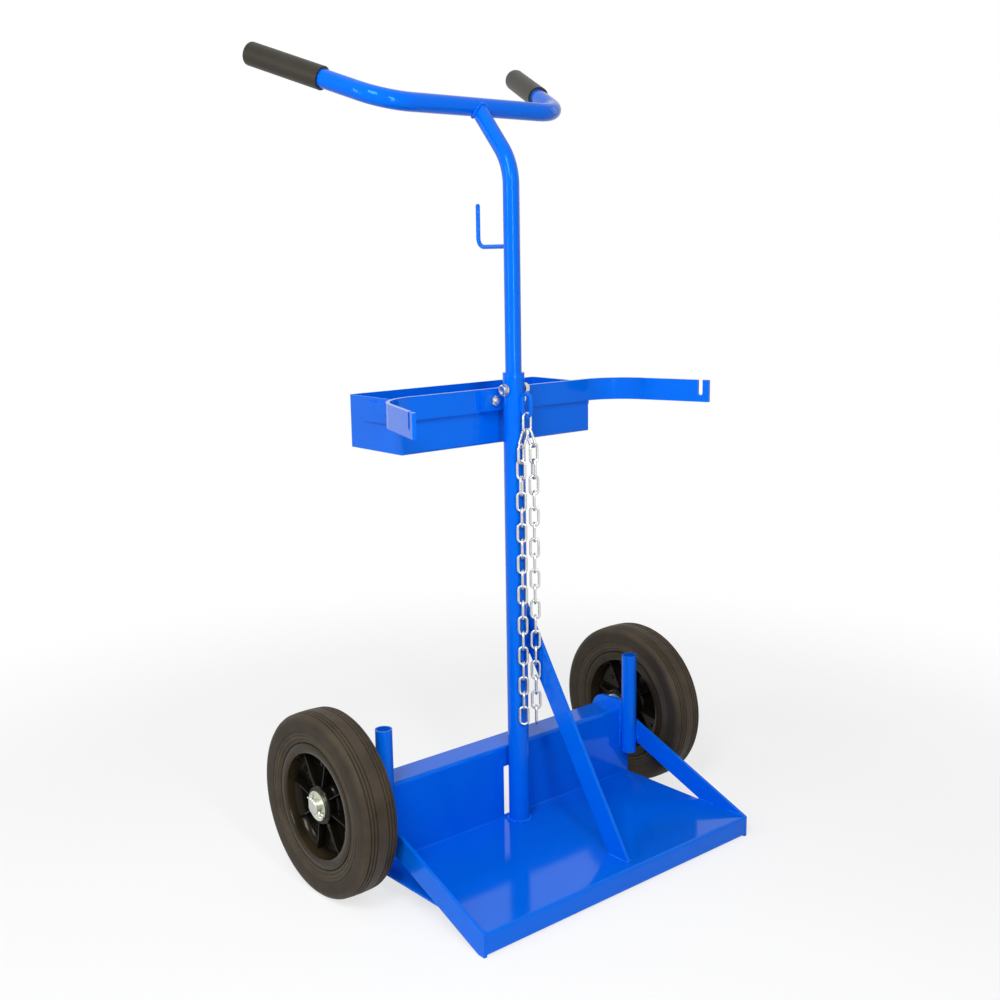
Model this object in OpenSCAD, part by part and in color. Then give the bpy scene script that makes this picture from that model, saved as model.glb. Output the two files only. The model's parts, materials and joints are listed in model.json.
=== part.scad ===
// Two-cylinder oxy acetylene torch cart: welded load deck and mast, bolted tool tray,
// retaining bar with chain, push handle and two plain-bearing wheels.
// Millimetres. X runs across the cart, -Y is the loading side, +Z is up.
// The cart stands on Z = 0 and its origin is the middle of its bounding box there.

/* [Wheels and axle] */
// Outside diameter of the solid rubber tyres
wheel_d = 250; // [220:1:280]
// Width of a tyre
tyre_w = 52; // [44:1:60]
// Distance between the middle planes of the tyres
track = 577; // [560:1:620]
// Outside diameter of the moulded rims
rim_d = 172; // [150:1:180]
// Diameter of the moulded hub
hub_d = 52; // [46:1:60]
// Hub length outboard of the tyre's middle plane
hub_out = 16.5; // [10:0.5:22]
// Hub length inboard of the tyre's middle plane
hub_in = 36.5; // [28:0.5:38]
// Number of ribs on each face of a rim
rib_count = 8; // [4:1:12]
// Diameter of the axle bar
axle_d = 20; // [16:0.5:24]
// Outside diameter of the hub bushes
bush_d = 26; // [25:0.5:30]
// Length of axle that stands out past each outer washer
axle_end = 7; // [6.5:0.5:16]
// Diameter of the axle washers
washer_d = 40; // [34:1:46]
// Thickness of the axle washers
washer_t = 3; // [2:0.5:4]
// Wire diameter of the split pins
pin_d = 4; // [3:0.5:5]

/* [Load deck] */
// Distance from the axle forward to the face of the upstand
axle_to_wall = 35.5; // [33:0.5:40]
// Depth of the deck from the upstand to the front of the lip
deck_depth = 234.5; // [200:0.5:280]
// Width of the deck between the side bars
deck_w = 486; // [470:1:500]
// Height of the deck's top face above the ground
deck_z = 30; // [26:1:36]
// Depth of the top flange behind the upstand's front face
flange_depth = 43.5; // [38:0.5:50]
// Height of the lip's lower edge above the ground
lip_gap = 3; // [1:0.5:8]
// Sheet thickness of the deck
deck_t = 3; // [2:0.5:4]
// Inside radius of the deck's bends
deck_bend = 1.5; // [1:0.5:3]
// Width of the corner notches in the upstand
notch_w = 19; // [17:0.5:21]
// Height above the ground of the floor of the corner notches
notch_z = 74; // [60:1:90]
// Width of the relief slot behind the mast
relief_w = 28; // [20:1:29]
// Height above the ground of the top of the relief slot
relief_z = 108; // [90:1:115]

/* [Flat bars] */
// Width of the flat bars that brace the deck and the mast
bar_w = 32; // [28:1:36]
// Thickness of the flat bars
bar_t = 5; // [4:0.5:6]
// Height of a side bar's top edge where it crosses its post
side_bar_z = 119; // [105:1:130]
// Distance of the centre brace's foot behind the lip
brace_foot = 13.5; // [8:0.5:30]
// Height at which the centre brace's front edge meets the mast
brace_z = 353; // [300:1:400]

/* [Posts and axle plates] */
// Outside diameter of the corner posts
post_d = 23; // [20:0.5:24]
// Wall of the corner posts
post_wall = 2; // [1.5:0.5:3]
// Height of the top of the posts
post_top = 226; // [190:1:260]
// Height of the bottom of the posts
post_bottom = 70; // [60:1:80]
// Height of the axle plates
axle_plate_w = 50; // [40:1:56]
// Thickness of the axle plates
axle_plate_t = 6; // [5:0.5:8]
// Diameter of the spacer tubes on the axle
spacer_d = 36; // [30:1:40]

/* [Mast] */
// Outside diameter of the lower mast tube
mast_d = 30; // [28:0.5:34]
// Wall of the lower mast tube
mast_wall = 3.5; // [2.5:0.5:4]
// Height of the top of the lower mast tube
mast_top = 678; // [670:1:720]
// Length of the upper tube that goes down into the lower one
telescope = 60; // [50:1:90]
// Wall of the upper tube
upper_wall = 2; // [1.5:0.5:3]
// Height at which the upper tube starts to bend back
upper_bend_z = 925; // [900:1:940]
// Centreline radius of the upper tube's bend
upper_bend_r = 75; // [60:1:90]
// Angle of the upper tube's bend
upper_bend_a = 41; // [30:1:50]
// Straight length between that bend and the middle of the handlebar
upper_leg = 75; // [60:1:90]

/* [Handlebar] */
// Outside diameter of the handlebar
handle_d = 25; // [22:0.5:28]
// Wall of the handlebar
handle_wall = 2; // [1.5:0.5:3]
// Half length of the handlebar's straight middle
handle_half = 110; // [90:1:130]
// Centreline radius of the handlebar's bends
handle_bend_r = 62; // [50:1:80]
// Angle of the handlebar's bends
handle_bend_a = 68; // [50:1:80]
// Straight length after each bend
handle_arm = 175; // [160:1:200]
// Rise of the handlebar's ends above the horizontal
handle_rise_a = 21; // [5:1:30]
// Length of a grip
grip_l = 122; // [100:1:140]
// Outside diameter of a grip
grip_d = 31.5; // [29:0.5:36]
// Thickness of a grip's closed end
grip_end = 4; // [3:0.5:6]

/* [Hose hook] */
// Diameter of the hook's round bar
hook_d = 6; // [5:0.5:8]
// Height of the hook's lower leg
hook_z = 846; // [800:1:880]
// Reach of the hook behind the mast's centreline
hook_reach = 70; // [60:1:80]
// Height of the hook's upright above its lower leg
hook_rise = 58; // [40:1:80]
// Centreline radius of the hook's corner
hook_r = 12; // [8:1:16]

/* [Retaining bar] */
// Height of the top edge of the retaining bar
retain_z = 656; // [650:1:660]
// Width of the retaining bar
retain_w = 31.5; // [28:0.5:34]
// Half length of the bar's straight middle
retain_half = 155; // [140:1:165]
// Centreline radius of the bar's bends
retain_r = 75; // [60:1:85]
// Angle of the bar's bends
retain_a = 70; // [60:1:85]
// Straight length of the bar's arms
retain_arm = 104; // [80:1:120]
// Width of the chain slots
slot_w = 7; // [6.5:0.5:9]
// Depth of the chain slots
slot_depth = 22; // [16:0.5:24]
// Distance of a chain slot's middle from the end of its arm
slot_end = 13; // [10:0.5:18]

/* [Mounting plate and fasteners] */
// Width of the plate that carries the bar and the tray
plate_w = 88; // [80:1:100]
// Height of that plate
plate_h = 28; // [24:1:30]
// Thickness of that plate
plate_t = 6; // [5:0.5:8]
// Distance between the two bar bolts
bolt_pitch = 47; // [44:1:60]
// Thread diameter of the bolts
bolt_d = 8; // [6:0.5:8]
// Width across the flats of the bolt heads and nuts
bolt_af = 13; // [12.5:0.5:14]
// Height of the bolt heads
head_h = 5.3; // [4:0.1:6]
// Height of the nuts
nut_h = 6.5; // [5:0.1:8]
// Outside diameter of the bolt washers
bolt_washer_d = 17; // [16:0.5:20]
// Thickness of the bolt washers
bolt_washer_t = 1.6; // [1:0.1:2.5]

/* [Tool tray] */
// Width of the tool tray
tray_w = 338; // [300:1:360]
// Depth of the tool tray
tray_depth = 123; // [100:1:140]
// Height of the tool tray
tray_h = 72; // [60:1:90]
// Height of the tray's rim above the ground
tray_z = 651; // [645:1:655]
// Sheet thickness of the tray
tray_t = 1.5; // [1:0.5:2.5]
// Inside radius of the tray's folds
tray_fold = 2.5; // [1:0.5:4]
// Length of the straps on the ends of the tray
strap_l = 79; // [60:1:100]
// Height of the straps
strap_h = 27; // [20:1:32]
// Thickness of the straps
strap_t = 3; // [2:0.5:4]
// Distance of a strap's top edge below the tray's rim
strap_drop = 6; // [4:0.5:12]

/* [Chain] */
// Wire diameter of the chain
chain_wire = 3.6; // [3:0.1:4]
// Inside length of a link
link_in = 22.2; // [20:0.1:26]
// Outside width of a link
link_w = 15; // [14:0.1:17]
// Outside width of the middle link that joins both strands
middle_w = 17; // [16:0.5:20]
// Links in each strand above its middle joint
links_upper = 9; // [5:1:9]
// Links in each strand below its middle joint
links_lower = 10; // [5:1:11]
// Bar diameter of the welded chain eye
eye_d = 5; // [4:0.5:6]
// Reach of the chain eye from the mast's surface
eye_reach = 22; // [18:0.5:26]
// Outside height of the chain eye
eye_h = 36; // [30:1:40]
// Height of the bottom of the chain eye
eye_z = 617; // [605:1:625]
// Distance of the left strand in front of the mast's surface
left_out = 7.5; // [5.5:0.5:9]
// Distance of the right strand in front of the mast's surface
right_out = 15.5; // [13:0.5:18]

/* [Hidden] */
$fn = 72;
seat = 0.2;          // gap between a round piece and the flat one it is welded to
slip = 0.3;          // radial gap between the telescoping tubes, and round bolts
fit = 0.05;          // radial running clearance of the bushes on the axle
play = 0.2;          // end play beside the wheels and between chain links
step = 0.08;         // a straight length is this much thinner than the bend it starts in

// Handlebar: v is measured from its middle, up the slope of its ends
handle_v = handle_bend_r * (1 - cos(handle_bend_a)) + handle_arm * sin(handle_bend_a);
grip_axis_y = sin(handle_bend_a) * cos(handle_rise_a);

// Places along Y, all from the axle
handle_back = upper_bend_r * (1 - cos(upper_bend_a)) + upper_leg * sin(upper_bend_a);
mast_to_axle = axle_to_wall + deck_bend + seat + mast_d / 2;
grip_back = handle_v * cos(handle_rise_a) + grip_end
            + (grip_d / 2 - grip_end) * sqrt(1 - pow(grip_axis_y, 2));
reach_back = handle_back - mast_to_axle + grip_back;
reach_front = axle_to_wall + deck_depth;
axle_y = (reach_front - reach_back) / 2;
wall_y = axle_y - axle_to_wall;
lip_y = axle_y - reach_front;
mast_y = axle_y - mast_to_axle;
handle_y = mast_y + handle_back;
handle_z = upper_bend_z + upper_bend_r * sin(upper_bend_a) + upper_leg * cos(upper_bend_a);
plate_y = mast_y + mast_d / 2;
retain_y = plate_y + plate_t;
tray_y = retain_y + bar_t;

// Across the cart
axle_z = wheel_d / 2;
wall_z = axle_z + axle_d / 2 + seat + deck_t;
wheel_x = track / 2;
hub_inner_x = wheel_x - hub_in;
hub_outer_x = wheel_x + hub_out;
outer_washer_x = hub_outer_x + play;
axle_half = outer_washer_x + washer_t + axle_end;
split_pin_x = outer_washer_x + washer_t + pin_d / 2 + play;
inner_washer_x = hub_inner_x - play - washer_t;
wall_half = deck_w / 2 - notch_w;
post_x = deck_w / 2 - post_d / 2 - seat;
post_y = wall_y - 2 - post_d / 2;
bar_x = deck_w / 2;
upper_d = mast_d - 2 * mast_wall - 2 * slip;

// Flat bars
side_slope = (side_bar_z - deck_z) / (post_y - lip_y);
side_drop = bar_w * sqrt(1 + pow(side_slope, 2));
side_end_y = post_y + post_d / 4;
brace_foot_y = lip_y + brace_foot;
brace_slope = (brace_z - deck_z) / (mast_y - brace_foot_y);
brace_drop = bar_w * sqrt(1 + pow(brace_slope, 2));

// Mounting height of the bar and its bolts
bolt_z = retain_z - retain_w / 2;
clamp_z = mast_top - 23;

// Chain: both strands hang side by side from the middle link, clear of the brace
link_step = link_in - play;
link_half = (link_in + chain_wire) / 2;
hang_y = mast_y - (mast_d + eye_reach) / 2;
middle_z = eye_z + eye_d + play - link_in / 2;
strand_x = link_w / 2 + 0.5;
wire_x = chain_wire / 2 + 0.15;
wrap = chain_wire + play;
hang_x = wire_x + wrap * (strand_x - wire_x) / (2 * link_half);
middle_r = (middle_w - chain_wire) / 2;
hang_z = middle_z - link_half + middle_r - sqrt(pow(middle_r, 2) - pow(hang_x, 2)) + fit;

blue = [0.02, 0.32, 0.92];
zinc = [0.78, 0.78, 0.74];
rubber = [0.20, 0.18, 0.16];
black = [0.07, 0.07, 0.07];

// ---------- helpers ----------

// A child that is drawn for the right side, on the left one
module left_side() { mirror([1, 0, 0]) children(); }

// Plate drawn in the YZ plane, from x to x + t
module yz_plate(x, t) {
    translate([x, 0, 0]) rotate([90, 0, 90]) linear_extrude(t) children();
}

// Tube along +Z
module tube(d, wall, l) {
    difference() {
        cylinder(d = d, h = l);
        translate([0, 0, -1]) cylinder(d = d - 2 * wall, h = l + 2);
    }
}

// Part bend of a round bar: starts at the origin along +Z, turns towards +Y
module bend(d, r, a) {
    translate([0, r, 0]) rotate([0, -90, 0]) rotate([0, 0, -90])
        rotate_extrude(angle = a) translate([r, 0]) circle(d = d);
}

// Carries its children on to the end of such a bend
module after_bend(r, a) {
    translate([0, r * (1 - cos(a)), r * sin(a)]) rotate([-a, 0, 0]) children();
}

// Hexagonal prism along +Z
module hexagon(af, h) { cylinder(d = af / cos(30), h = h, $fn = 6); }

// ---------- deck and frame ----------

// Inside fillet of a bend, into the first quadrant from the corner at the origin
module bend_inside() {
    difference() {
        translate([-1, -1]) square(deck_bend + 1);
        translate([deck_bend, deck_bend]) circle(r = deck_bend);
    }
}

// What a bend takes off the outside corner at the origin
module bend_outside() {
    o = deck_bend + deck_t;
    difference() {
        translate([-1, -1]) square(o + 1);
        translate([o, o]) circle(r = o);
    }
}

// Section of the folded deck in Y and Z
module deck_section() {
    difference() {
        union() {
            translate([lip_y, lip_gap]) square([deck_t, deck_z - lip_gap]);
            translate([lip_y, deck_z - deck_t]) square([wall_y + deck_t - lip_y, deck_t]);
            translate([wall_y, deck_z - deck_t]) square([deck_t, wall_z - deck_z + deck_t]);
            translate([wall_y, wall_z - deck_t]) square([flange_depth, deck_t]);
            translate([lip_y + deck_t, deck_z - deck_t]) rotate(270) bend_inside();
            translate([wall_y, deck_z]) rotate(90) bend_inside();
            translate([wall_y + deck_t, wall_z - deck_t]) rotate(270) bend_inside();
        }
        translate([lip_y, deck_z]) rotate(270) bend_outside();
        translate([wall_y + deck_t, deck_z - deck_t]) rotate(90) bend_outside();
        translate([wall_y, wall_z]) rotate(270) bend_outside();
    }
}

module load_deck() {
    color(blue) difference() {
        yz_plate(-deck_w / 2, deck_w) deck_section();
        for (x = [-deck_w / 2 - 1, wall_half])
            translate([x, wall_y - 1, notch_z])
                cube([notch_w + 1, flange_depth + 2, wall_z]);
        translate([-relief_w / 2, wall_y - 1, deck_z + deck_bend + 2])
            cube([relief_w, deck_t + 2, relief_z - deck_z - deck_bend - 2]);
    }
}

module side_bar_right() {
    color(blue) yz_plate(bar_x, bar_t) polygon([
        [lip_y, 0],
        [lip_y, deck_z],
        [side_end_y, deck_z + side_slope * (side_end_y - lip_y)],
        [side_end_y, deck_z + side_slope * (side_end_y - lip_y) - side_drop],
        [lip_y + (side_drop - deck_z) / side_slope, 0]
    ]);
}
module side_bar_left() { left_side() side_bar_right(); }

module post_right() {
    color(blue) translate([post_x, post_y, post_bottom])
        tube(post_d, post_wall, post_top - post_bottom);
}
module post_left() { left_side() post_right(); }

module post_cap_right() {
    color(blue) translate([post_x, post_y, post_top - 2])
        cylinder(d = post_d - 2 * post_wall - 2 * fit, h = 2);
}
module post_cap_left() { left_side() post_cap_right(); }

module axle_plate_right() {
    front_y = post_y + post_d / 2;
    color(blue) difference() {
        union() {
            translate([wall_half, axle_y, axle_z]) rotate([0, 90, 0])
                cylinder(d = axle_plate_w, h = axle_plate_t);
            translate([wall_half, front_y - 2, axle_z - axle_plate_w / 2])
                cube([axle_plate_t, axle_y - front_y + 2, axle_plate_w]);
        }
        translate([wall_half - 1, axle_y, axle_z]) rotate([0, 90, 0])
            cylinder(d = axle_d + 2 * fit, h = axle_plate_t + 2);
        translate([post_x, post_y, 0])
            cylinder(d = post_d + 2 * fit, h = post_top);
    }
}
module axle_plate_left() { left_side() axle_plate_right(); }

module axle_spacer_right() {
    x = wall_half + axle_plate_t;
    color(blue) translate([x, axle_y, axle_z]) rotate([0, 90, 0])
        tube(spacer_d, (spacer_d - axle_d) / 2 - fit, inner_washer_x - play - x);
}
module axle_spacer_left() { left_side() axle_spacer_right(); }

module axle() {
    color(zinc) difference() {
        translate([-axle_half, axle_y, axle_z]) rotate([0, 90, 0])
            rotate_extrude() polygon([
                [0, 0], [axle_d / 2 - 1.5, 0], [axle_d / 2, 1.5],
                [axle_d / 2, 2 * axle_half - 1.5], [axle_d / 2 - 1.5, 2 * axle_half],
                [0, 2 * axle_half]
            ]);
        for (s = [-1, 1])
            translate([s * split_pin_x, axle_y, axle_z]) rotate([pin_tilt, 0, 0])
                cylinder(d = pin_d + 2 * fit, h = axle_d + 2, center = true);
    }
}

// ---------- mast ----------

module clamp_hole(d) {
    translate([0, mast_y, clamp_z]) rotate([0, 90, 0])
        cylinder(d = d, h = mast_d + 2, center = true);
}

module mast_lower_tube() {
    color(blue) difference() {
        translate([0, mast_y, deck_z]) tube(mast_d, mast_wall, mast_top - deck_z);
        clamp_hole(bolt_d + 2 * slip);
    }
}

module centre_brace() {
    color(blue) yz_plate(mast_d / 2 + seat, bar_t) polygon([
        [brace_foot_y, deck_z],
        [mast_y, brace_z],
        [mast_y, brace_z - brace_drop],
        [brace_foot_y + brace_drop / brace_slope, deck_z]
    ]);
}

// Upper tube's outline at diameter d; the leg is a hair thinner and starts inside its bend
module upper_run(d, thin, foot) {
    translate([0, mast_y, 0]) {
        translate([0, 0, foot]) cylinder(d = d, h = upper_bend_z - foot);
        translate([0, 0, upper_bend_z]) {
            bend(d, upper_bend_r, upper_bend_a);
            after_bend(upper_bend_r, upper_bend_a) translate([0, 0, -1])
                cylinder(d = d + thin, h = upper_leg + 1);
        }
    }
}

module upper_tube() {
    foot = mast_top - telescope;
    color(blue) difference() {
        upper_run(upper_d, -step, foot);
        upper_run(upper_d - 2 * upper_wall, step, foot - 1);
        translate([-mast_d, handle_y, handle_z]) rotate([0, 90, 0])
            cylinder(d = handle_d, h = 2 * mast_d);
        clamp_hole(bolt_d + 2 * slip);
    }
}

// ---------- handlebar ----------

// Puts its children, drawn in X and V with V towards +Y, on the handlebar's slope
module on_handle() {
    translate([0, handle_y, handle_z]) rotate([handle_rise_a, 0, 0]) children();
}

// Carries its children, drawn along +Z, to the start of the right arm
module on_arm() {
    on_handle() translate([handle_half, 0, 0]) rotate([0, 90, 0])
        after_bend(handle_bend_r, handle_bend_a) children();
}

// Half of the handlebar's outline at diameter d, its arm a hair thinner than its bend
module handle_run(d, thin, l) {
    on_handle() {
        rotate([0, 90, 0]) cylinder(d = d, h = handle_half);
        translate([handle_half, 0, 0]) rotate([0, 90, 0]) bend(d, handle_bend_r, handle_bend_a);
    }
    on_arm() translate([0, 0, -1]) cylinder(d = d + thin, h = l + 1);
}

module handlebar() {
    bore = handle_d - 2 * handle_wall;
    color(blue) difference() {
        union() {
            handle_run(handle_d, -step, handle_arm);
            left_side() handle_run(handle_d, -step, handle_arm);
        }
        handle_run(bore, step, handle_arm + 1);
        left_side() handle_run(bore, step, handle_arm + 1);
    }
}

module grip_right() {
    r = grip_d / 2;
    e = grip_end;
    bore = handle_d / 2 + fit;
    color(rubber) on_arm() translate([0, 0, handle_arm + e])
        rotate([180, 0, 0]) rotate_extrude() difference() {
            union() {
                translate([0, e]) square([r, grip_l - e]);
                square([r - e, e + 1]);
                intersection() {
                    translate([r - e, e]) circle(r = e);
                    square([r, e]);
                }
            }
            translate([-1, e]) square([bore + 1, grip_l]);
        }
}
module grip_left() { left_side() grip_right(); }

module hose_hook() {
    start = upper_d / 2 - 2;
    color(blue) difference() {
        translate([0, mast_y, hook_z]) {
            translate([0, start, 0]) rotate([-90, 0, 0])
                cylinder(d = hook_d, h = hook_reach - hook_r - start);
            translate([0, hook_reach - hook_r, 0]) rotate([-90, 0, 0])
                rotate([0, 0, 180]) bend(hook_d, hook_r, 90);
            translate([0, hook_reach, hook_r]) {
                cylinder(d = hook_d, h = hook_rise - hook_r - hook_d / 2);
                translate([0, 0, hook_rise - hook_r - hook_d / 2]) sphere(d = hook_d);
            }
        }
        translate([0, mast_y, hook_z - hook_d]) cylinder(d = upper_d, h = 2 * hook_d);
    }
}

// ---------- fasteners ----------

// Hex bolt whose shank runs from under the head at z = 0 up +Z
module bolt(l) {
    translate([0, 0, -head_h]) hexagon(bolt_af, head_h);
    cylinder(d = bolt_d, h = l);
}

module nut() {
    difference() {
        hexagon(bolt_af, nut_h);
        translate([0, 0, -1]) cylinder(d = bolt_d + 2 * fit, h = nut_h + 2);
    }
}

module washer(d, bore, t) {
    difference() {
        cylinder(d = d, h = t);
        translate([0, 0, -1]) cylinder(d = bore, h = t + 2);
    }
}

// Start of the clamp bolt's stack on the left of the mast, pointing to +X
module at_clamp(x) { translate([x, mast_y, clamp_z]) rotate([0, 90, 0]) children(); }

clamp_washer_x = mast_d / 2 + seat;
clamp_nut_x = clamp_washer_x + bolt_washer_t;

module clamp_bolt() {
    color(zinc) at_clamp(-clamp_nut_x) bolt(2 * clamp_nut_x + nut_h + 3);
}
module clamp_nut() { color(zinc) at_clamp(clamp_nut_x) nut(); }
module clamp_washers() {
    color(zinc) for (x = [-clamp_nut_x, clamp_washer_x])
        at_clamp(x) washer(bolt_washer_d, bolt_d + 2 * slip, bolt_washer_t);
}

// Stack of the two bar bolts: heads inside the tray, nuts in front of the plate
module at_bar_bolts(y) {
    for (s = [-1, 1])
        translate([s * bolt_pitch / 2, y, bolt_z]) rotate([90, 0, 0]) children();
}
module bar_bolt_holes() {
    at_bar_bolts(tray_y + 20) cylinder(d = bolt_d + 2 * slip, h = 60);
}

bar_stack = plate_t + bar_t + tray_t + bolt_washer_t;

module bar_bolts() {
    color(zinc) at_bar_bolts(tray_y + tray_t + bolt_washer_t)
        bolt(bar_stack + nut_h + 2.5);
}
module bar_nuts() { color(zinc) at_bar_bolts(plate_y) nut(); }
module bar_washers() {
    color(zinc) at_bar_bolts(tray_y + tray_t + bolt_washer_t)
        washer(bolt_washer_d, bolt_d + 2 * slip, bolt_washer_t);
}

module mounting_plate() {
    color(blue) difference() {
        translate([-plate_w / 2, plate_y + fit, bolt_z - plate_h / 2])
            cube([plate_w, plate_t - fit, plate_h]);
        bar_bolt_holes();
    }
}

// ---------- retaining bar ----------

// Carries its children to the start of the right arm, which runs along +X
module on_retain_arm() {
    translate([retain_half, retain_y + bar_t / 2 - retain_r, retain_z - retain_w])
        rotate([0, 0, -retain_a]) translate([0, retain_r, 0]) children();
}

thin = bar_t - step;

module retain_side() {
    translate([retain_half, retain_y + bar_t / 2 - retain_r, retain_z - retain_w])
        rotate([0, 0, 90 - retain_a]) rotate_extrude(angle = retain_a)
            translate([retain_r - bar_t / 2, 0]) square([bar_t, retain_w]);
    difference() {
        on_retain_arm() translate([-1, -thin / 2, step / 2])
            cube([retain_arm + 1, thin, retain_w - step]);
        on_retain_arm() translate([retain_arm - slot_end, -bar_t, retain_w - slot_depth]) {
            translate([-slot_w / 2, 0, slot_w / 2]) cube([slot_w, 2 * bar_t, retain_w]);
            translate([0, 0, slot_w / 2]) rotate([-90, 0, 0])
                cylinder(d = slot_w, h = 2 * bar_t);
        }
    }
}

module retaining_bar() {
    color(blue) {
        difference() {
            translate([-retain_half - 1, retain_y, retain_z - retain_w + step / 2])
                cube([2 * retain_half + 2, thin, retain_w - step]);
            bar_bolt_holes();
        }
        retain_side();
        left_side() retain_side();
    }
}

// ---------- tool tray ----------

module tool_tray() {
    floor_z = tray_z - tray_h;
    r = tray_fold;
    color(blue) difference() {
        translate([-tray_w / 2, tray_y, floor_z]) tray_block(tray_w, tray_depth, tray_h, r + tray_t);
        translate([-tray_w / 2 + tray_t, tray_y + tray_t, floor_z + tray_t])
            tray_block(tray_w - 2 * tray_t, tray_depth - 2 * tray_t, tray_h + 10, r);
        bar_bolt_holes();
    }
}

// Block with its long bottom edges and its upright corners rounded by r
module tray_block(w, d, h, r) {
    intersection() {
        linear_extrude(h) rounded_rectangle(w, d, r);
        rotate([90, 0, 90]) linear_extrude(w) union() {
            translate([0, r]) square([d, h - r]);
            translate([r, 0]) square([d - 2 * r, r]);
            translate([r, r]) circle(r = r);
            translate([d - r, r]) circle(r = r);
        }
    }
}

module rounded_rectangle(w, d, r) {
    translate([r, 0]) square([w - 2 * r, d]);
    translate([0, r]) square([w, d - 2 * r]);
    for (x = [r, w - r], y = [r, d - r]) translate([x, y]) circle(r = r);
}

module tray_strap_right() {
    top = tray_z - strap_drop;
    color(blue) yz_plate(tray_w / 2, strap_t) translate([tray_y + 4, top - strap_h])
        difference() {
            square([strap_l, strap_h]);
            translate([strap_l - 3, strap_h - 3]) difference() {
                square(4);
                circle(r = 3);
            }
        }
}
module tray_strap_left() { left_side() tray_strap_right(); }

// ---------- chain ----------

// One link, centred, with its long axis along Z and its flat in the XZ plane
module link(w) {
    r = (w - chain_wire) / 2;
    half = link_half - r;
    for (s = [-1, 1]) translate([s * r, 0, -half]) cylinder(d = chain_wire, h = 2 * half);
    for (s = [0, 180]) rotate([0, s, 0]) translate([0, 0, half]) rotate([90, 0, 0])
        rotate_extrude(angle = 180) translate([r, 0]) circle(d = chain_wire);
}

// Oval eye in the YZ plane, with its inner leg on the mast's front
module chain_eye() {
    r = (eye_reach - eye_d) / 2;
    half = eye_h / 2 - eye_d / 2 - r;
    color(blue) translate([0, hang_y - seat, eye_z + eye_h / 2]) rotate([0, 0, 90]) {
        for (s = [-1, 1]) translate([s * r, 0, -half]) cylinder(d = eye_d, h = 2 * half);
        for (s = [0, 180]) rotate([0, s, 0]) translate([0, 0, half]) rotate([90, 0, 0])
            rotate_extrude(angle = 180) translate([r, 0]) circle(d = eye_d);
    }
}

module chain_middle_link() {
    color(zinc) translate([0, hang_y, middle_z]) link(middle_w);
}

// First link of a strand, leaning on the middle link's wire, whose foot is at y
module leaning_link(side, y) {
    tilt = asin((y - hang_y) / (2 * link_half - wrap));
    lean = asin((strand_x - hang_x) / ((2 * link_half - wrap) * cos(tilt)));
    translate([side * hang_x, hang_y, hang_z]) rotate([0, -side * lean, 0])
        rotate([tilt, 0, 0]) translate([0, 0, wrap - link_half])
            rotate([0, 0, 90]) link(link_w);
}

// Links first to last of the strand at y; the first ones turn a little more each
module strand(side, y, first, last, turn) {
    tilt = asin((y - hang_y) / (2 * link_half - wrap));
    lean = asin((strand_x - hang_x) / ((2 * link_half - wrap) * cos(tilt)));
    foot_z = hang_z - (2 * link_half - wrap) * cos(tilt) * cos(lean);
    for (i = [first:last])
        translate([side * strand_x, y, foot_z + wrap + 0.25 - link_half - link_step * (i - 2)])
            rotate([0, 0, 90 * i - side * min(turn / 4 * (i - 1), turn)]) link(link_w);
}

left_y = mast_y - mast_d / 2 - left_out;
right_y = mast_y - mast_d / 2 - right_out;

module chain_left_upper() {
    color(zinc) {
        leaning_link(-1, left_y);
        strand(-1, left_y, 2, links_upper, 50);
    }
}
module chain_left_lower() {
    color(zinc) strand(-1, left_y, links_upper + 1, links_upper + links_lower, 50);
}
module chain_right_upper() {
    color(zinc) {
        leaning_link(1, right_y);
        strand(1, right_y, 2, links_upper, 40);
    }
}
module chain_right_lower() {
    color(zinc) strand(1, right_y, links_upper + 1, links_upper + links_lower, 40);
}

// ---------- wheels ----------

// Puts its children, turned about +Z with +Z outboard, on the right end of the axle
module at_wheel(x) { translate([x, axle_y, axle_z]) rotate([0, 90, 0]) children(); }

rim_r = rim_d / 2;
seat_r = rim_r - 8;

module tyre_right() {
    r = wheel_d / 2;
    h = tyre_w / 2;
    groove = 1.6;
    color(rubber) at_wheel(wheel_x) rotate_extrude($fn = 144) difference() {
        union() {
            translate([seat_r + fit, -h + 7.2]) square([rim_r - seat_r, 2 * h - 14.4]);
            polygon([
                [rim_r - 1, -h + 3.5], [rim_r + 9, -h + 1.5], [r - 12, -h], [r - 6, -h + 0.8],
                [r - 1.2, -h + 5.5], [r, 0], [r - 1.2, h - 5.5], [r - 6, h - 0.8],
                [r - 12, h], [rim_r + 9, h - 1.5], [rim_r - 1, h - 3.5],
                [rim_r - 1, h - 7], [rim_r - 1, -h + 7]
            ]);
        }
        for (z = [-12, -4, 4, 12]) translate([r - groove, z - 1]) square([groove + 1, 2]);
        for (s = [-1, 1], q = [5, 12, 19])
            translate([rim_r + q, s * (h - 0.4)]) square([1.6, 2.4], center = true);
    }
}
module tyre_left() { left_side() tyre_right(); }

module rim_rib(a, z0, z1) {
    rotate([0, 0, a]) translate([hub_d / 2 - 2, -1.5, min(z0, z1)])
        cube([seat_r - 5 - hub_d / 2 + 4, 3, abs(z1 - z0)]);
}

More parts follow.
